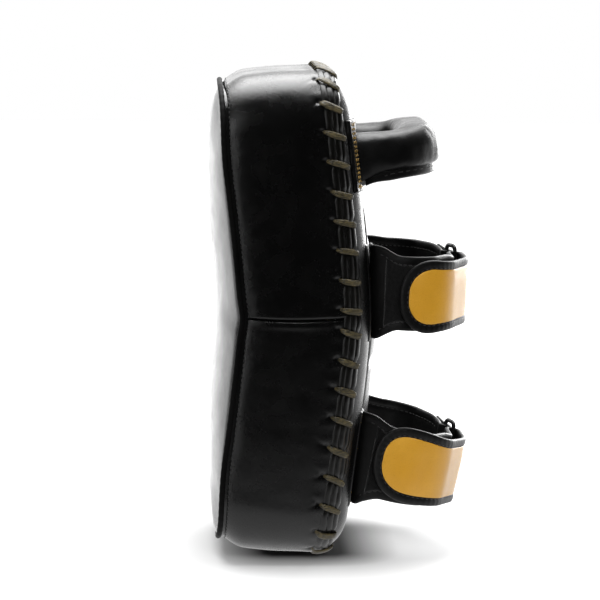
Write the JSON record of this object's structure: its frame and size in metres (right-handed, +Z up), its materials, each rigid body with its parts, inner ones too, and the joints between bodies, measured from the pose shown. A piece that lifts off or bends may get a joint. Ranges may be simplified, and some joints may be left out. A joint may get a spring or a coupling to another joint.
{
  "type": "kick paddle",
  "caption": "Curved padded leather kick paddle with laced back edge, padded grip handle and hook-and-loop forearm straps through wire rings.",
  "frame": {"origin": "middle of the underside of the bounding box, with the pad upright on its lower end", "axes": "+Z up along the pad's height; +Y out of the back, the way the handle and straps stand; the strike face looks along -Y; +X towards the side where the pull tabs lie"},
  "size_m": [0.2092, 0.2226, 0.3994],
  "materials": {
    "black_leather": "smooth semi-gloss",
    "strike_leather": "glossy",
    "gold_leather": "satin metallic sheen",
    "binding_tape": "satin",
    "lace_cord": "waxed braided cord",
    "foam": "closed-cell matte",
    "rope": "twisted",
    "ring_wire": "gunmetal",
    "hook_tape": "matte",
    "pile_tape": "fuzzy"
  },
  "bodies": {
    "pad": {"back_foam": "foam", "back_panel": "black_leather", "core_foam": "foam", "edge_lacing": "lace_cord", "face_foam": "foam", "face_piping": "black_leather", "forearm_cushion": "black_leather", "handle_anchor_far": "black_leather", "handle_anchor_near": "black_leather", "handle_binding": "binding_tape", "handle_cover": "black_leather", "handle_padding": "foam", "handle_rope": "rope", "lace_welt": "black_leather", "lower_anchor_far": "black_leather", "lower_anchor_near": "black_leather", "lower_pile_patch": "pile_tape", "lower_ring_strap": "black_leather", "lower_side_wall": "black_leather", "lower_strap": "black_leather", "strike_panel": "strike_leather", "upper_anchor_far": "black_leather", "upper_anchor_near": "black_leather", "upper_pile_patch": "pile_tape", "upper_ring_strap": "black_leather", "upper_side_wall": "black_leather", "upper_strap": "black_leather"},
    "lower_pull": {"lower_hook_patch": "hook_tape", "lower_pull_tab": "black_leather", "lower_tab_binding": "binding_tape", "lower_tab_face": "gold_leather"},
    "lower_ring_link": {"lower_ring": "ring_wire"},
    "upper_pull": {"upper_hook_patch": "hook_tape", "upper_pull_tab": "black_leather", "upper_tab_binding": "binding_tape", "upper_tab_face": "gold_leather"},
    "upper_ring_link": {"upper_ring": "ring_wire"}
  },
  "joints": [
    {"name": "upper_ring_swivel", "type": "hinge", "parent": "pad", "child": "upper_ring_link", "pos_m": [-0.021, 0.09602, 0.21598], "axis": [0, 0.0358, 0.9994], "range_deg": [-4, 4]},
    {"name": "upper_tab_peel", "type": "hinge", "parent": "pad", "child": "upper_pull", "pos_m": [-0.006, 0.10151, 0.21579], "axis": [0, 0.0358, 0.9994], "range_deg": [0, 80]},
    {"name": "lower_ring_swivel", "type": "hinge", "parent": "pad", "child": "lower_ring_link", "pos_m": [-0.021, 0.09267, 0.06904], "axis": [0, 0.2002, 0.9798], "range_deg": [-4, 4]},
    {"name": "lower_tab_peel", "type": "hinge", "parent": "pad", "child": "lower_pull", "pos_m": [-0.006, 0.09806, 0.06794], "axis": [0, 0.2002, 0.9798], "range_deg": [0, 80]}
  ]
}
